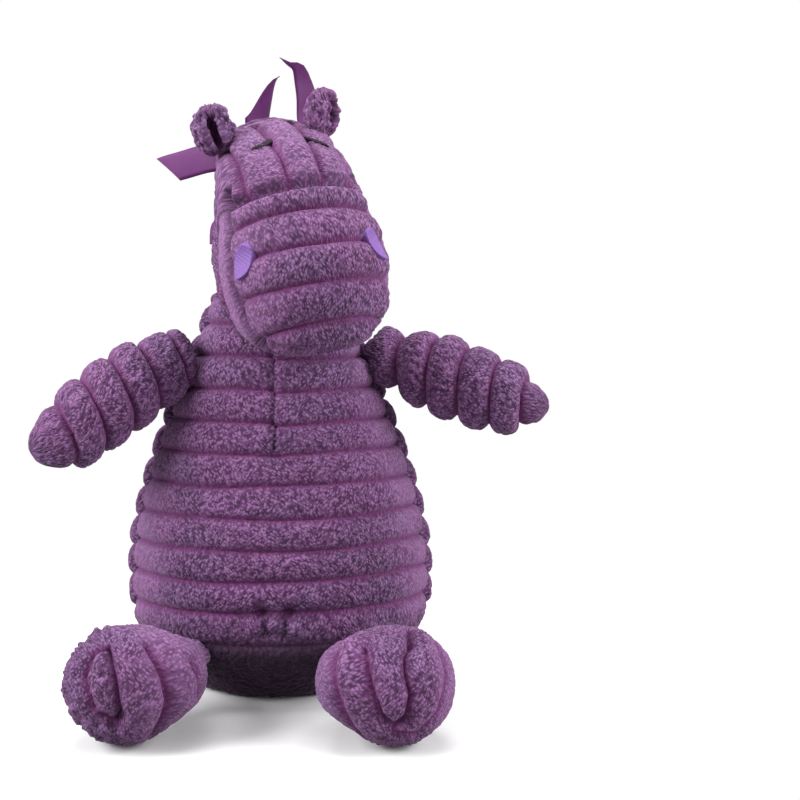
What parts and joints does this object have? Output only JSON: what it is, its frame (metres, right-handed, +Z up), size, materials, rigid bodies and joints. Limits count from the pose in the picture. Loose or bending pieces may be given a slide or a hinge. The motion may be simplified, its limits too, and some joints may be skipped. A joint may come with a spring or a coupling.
{
  "type": "stuffed toy animal",
  "caption": "Seated purple wide-wale plush toy animal with a long muzzle, cupped ears, stub limbs, and a satin ribbon mane and tail.",
  "frame": {"origin": "middle of the flat seat, on the surface that the toy sits on", "axes": "+Z up along the middle of the body, -Y the way the belly faces, +X to the right of the toy as seen from the front"},
  "size_m": [0.1881, 0.22, 0.2304],
  "materials": {
    "wale_plush": "wide-wale plush pile",
    "smooth_plush": "plush pile without wales",
    "satin_ribbon": "glossy satin weave",
    "nostril_thread": "satin stitch",
    "eye_thread": "twisted thread",
    "fibre_filling": "polyester fibre",
    "pellet_cloth": "plain woven inner bag"
  },
  "bodies": {
    "torso": {"belly_panel": "wale_plush", "back_panel_left": "wale_plush", "back_panel_right": "wale_plush", "seat_panel": "wale_plush", "body_stuffing": "fibre_filling", "pellet_bag": "pellet_cloth", "tail_fold": "satin_ribbon"},
    "neck": {"neck_stuffing": "wale_plush"},
    "head": {"muzzle_panel": "wale_plush", "forehead_panel": "wale_plush", "head_side_left": "wale_plush", "head_side_right": "wale_plush", "chin_panel": "smooth_plush", "head_stuffing": "fibre_filling", "nostril_left": "nostril_thread", "nostril_right": "nostril_thread", "eye_stitch_left": "eye_thread", "eye_stitch_right": "eye_thread"},
    "left_ear": {"ear_left": "wale_plush", "ear_lining_left": "smooth_plush"},
    "right_ear": {"ear_right": "wale_plush", "ear_lining_right": "smooth_plush"},
    "left_shoulder": {"arm_root_left": "wale_plush"},
    "left_arm": {"arm_left": "wale_plush", "arm_stuffing_left": "fibre_filling"},
    "right_shoulder": {"arm_root_right": "wale_plush"},
    "right_arm": {"arm_right": "wale_plush", "arm_stuffing_right": "fibre_filling"},
    "left_hip": {"leg_root_left": "wale_plush"},
    "left_leg": {"leg_left": "wale_plush", "leg_stuffing_left": "fibre_filling"},
    "right_hip": {"leg_root_right": "wale_plush"},
    "right_leg": {"leg_right": "wale_plush", "leg_stuffing_right": "fibre_filling"},
    "mane_top": {"mane_tail_tall": "satin_ribbon", "mane_tail_curled": "satin_ribbon", "mane_side_left": "satin_ribbon", "mane_side_right": "satin_ribbon"},
    "mane_back": {"mane_loop_upper": "satin_ribbon", "mane_loop_lower": "satin_ribbon"},
    "long_tail": {"tail_ribbon_long": "satin_ribbon"},
    "short_tail": {"tail_ribbon_short": "satin_ribbon"}
  },
  "joints": [
    {"name": "neck_turn", "type": "hinge", "parent": "torso", "child": "neck", "pos_m": [0, 0, 0.1472], "axis": [0, 0, 1], "range_deg": [-45, 45]},
    {"name": "head_nod", "type": "hinge", "parent": "neck", "child": "head", "pos_m": [-0.0065, 0.0226, 0.1534], "axis": [-0.956, -0.2741, -0.1045], "range_deg": [0, 30]},
    {"name": "shoulder_swing_left", "type": "hinge", "parent": "torso", "child": "left_shoulder", "pos_m": [-0.0391, -0.013, 0.121], "axis": [0, 0, 1], "range_deg": [-28, 40]},
    {"name": "arm_raise_left", "type": "hinge", "parent": "left_shoulder", "child": "left_arm", "pos_m": [-0.0391, -0.013, 0.121], "axis": [-0.4384, 0.8988, 0], "range_deg": [-10, 60]},
    {"name": "hip_splay_left", "type": "hinge", "parent": "torso", "child": "left_hip", "pos_m": [-0.0391, -0.0418, 0.0204], "axis": [0, 0, -1], "range_deg": [-10, 25]},
    {"name": "leg_lift_left", "type": "hinge", "parent": "left_hip", "child": "left_leg", "pos_m": [-0.0391, -0.0418, 0.0204], "axis": [-0.8829, 0.4695, 0], "range_deg": [-45, 40]},
    {"name": "ear_flop_left", "type": "hinge", "parent": "head", "child": "left_ear", "pos_m": [-0.0208, -0.0204, 0.199], "axis": [0.945, -0.3257, 0.0286], "range_deg": [-18, 14], "stiffness_Nm_per_rad": 0.0004},
    {"name": "shoulder_swing_right", "type": "hinge", "parent": "torso", "child": "right_shoulder", "pos_m": [0.0413, -0.0053, 0.121], "axis": [0, 0, -1], "range_deg": [-28, 40]},
    {"name": "arm_raise_right", "type": "hinge", "parent": "right_shoulder", "child": "right_arm", "pos_m": [0.0413, -0.0053, 0.121], "axis": [-0.309, -0.9511, 0], "range_deg": [-18, 60]},
    {"name": "hip_splay_right", "type": "hinge", "parent": "torso", "child": "right_hip", "pos_m": [0.0294, -0.0475, 0.0204], "axis": [0, 0, 1], "range_deg": [-10, 25]},
    {"name": "leg_lift_right", "type": "hinge", "parent": "right_hip", "child": "right_leg", "pos_m": [0.0294, -0.0475, 0.0204], "axis": [-0.9613, -0.2756, 0], "range_deg": [-45, 40]},
    {"name": "ear_flop_right", "type": "hinge", "parent": "head", "child": "right_ear", "pos_m": [0.0189, -0.009, 0.2033], "axis": [0.6174, 0.7737, 0.1422], "range_deg": [-18, 14], "stiffness_Nm_per_rad": 0.0004},
    {"name": "mane_top_flop", "type": "hinge", "parent": "head", "child": "mane_top", "pos_m": [-0.0093, 0.019, 0.1887], "axis": [-0.956, -0.2741, -0.1045], "range_deg": [0, 22], "stiffness_Nm_per_rad": 0.0004},
    {"name": "mane_back_lift", "type": "hinge", "parent": "head", "child": "mane_back", "pos_m": [-0.0095, 0.0206, 0.1861], "axis": [0.956, 0.2741, 0.1045], "range_deg": [0, 35], "stiffness_Nm_per_rad": 0.0004},
    {"name": "tail_long_lift", "type": "hinge", "parent": "torso", "child": "long_tail", "pos_m": [0, 0.0412, 0.02], "axis": [1, 0, 0], "range_deg": [0, 40]},
    {"name": "tail_short_lift", "type": "hinge", "parent": "torso", "child": "short_tail", "pos_m": [0, 0.0412, 0.02], "axis": [1, 0, 0], "range_deg": [0, 25]}
  ]
}
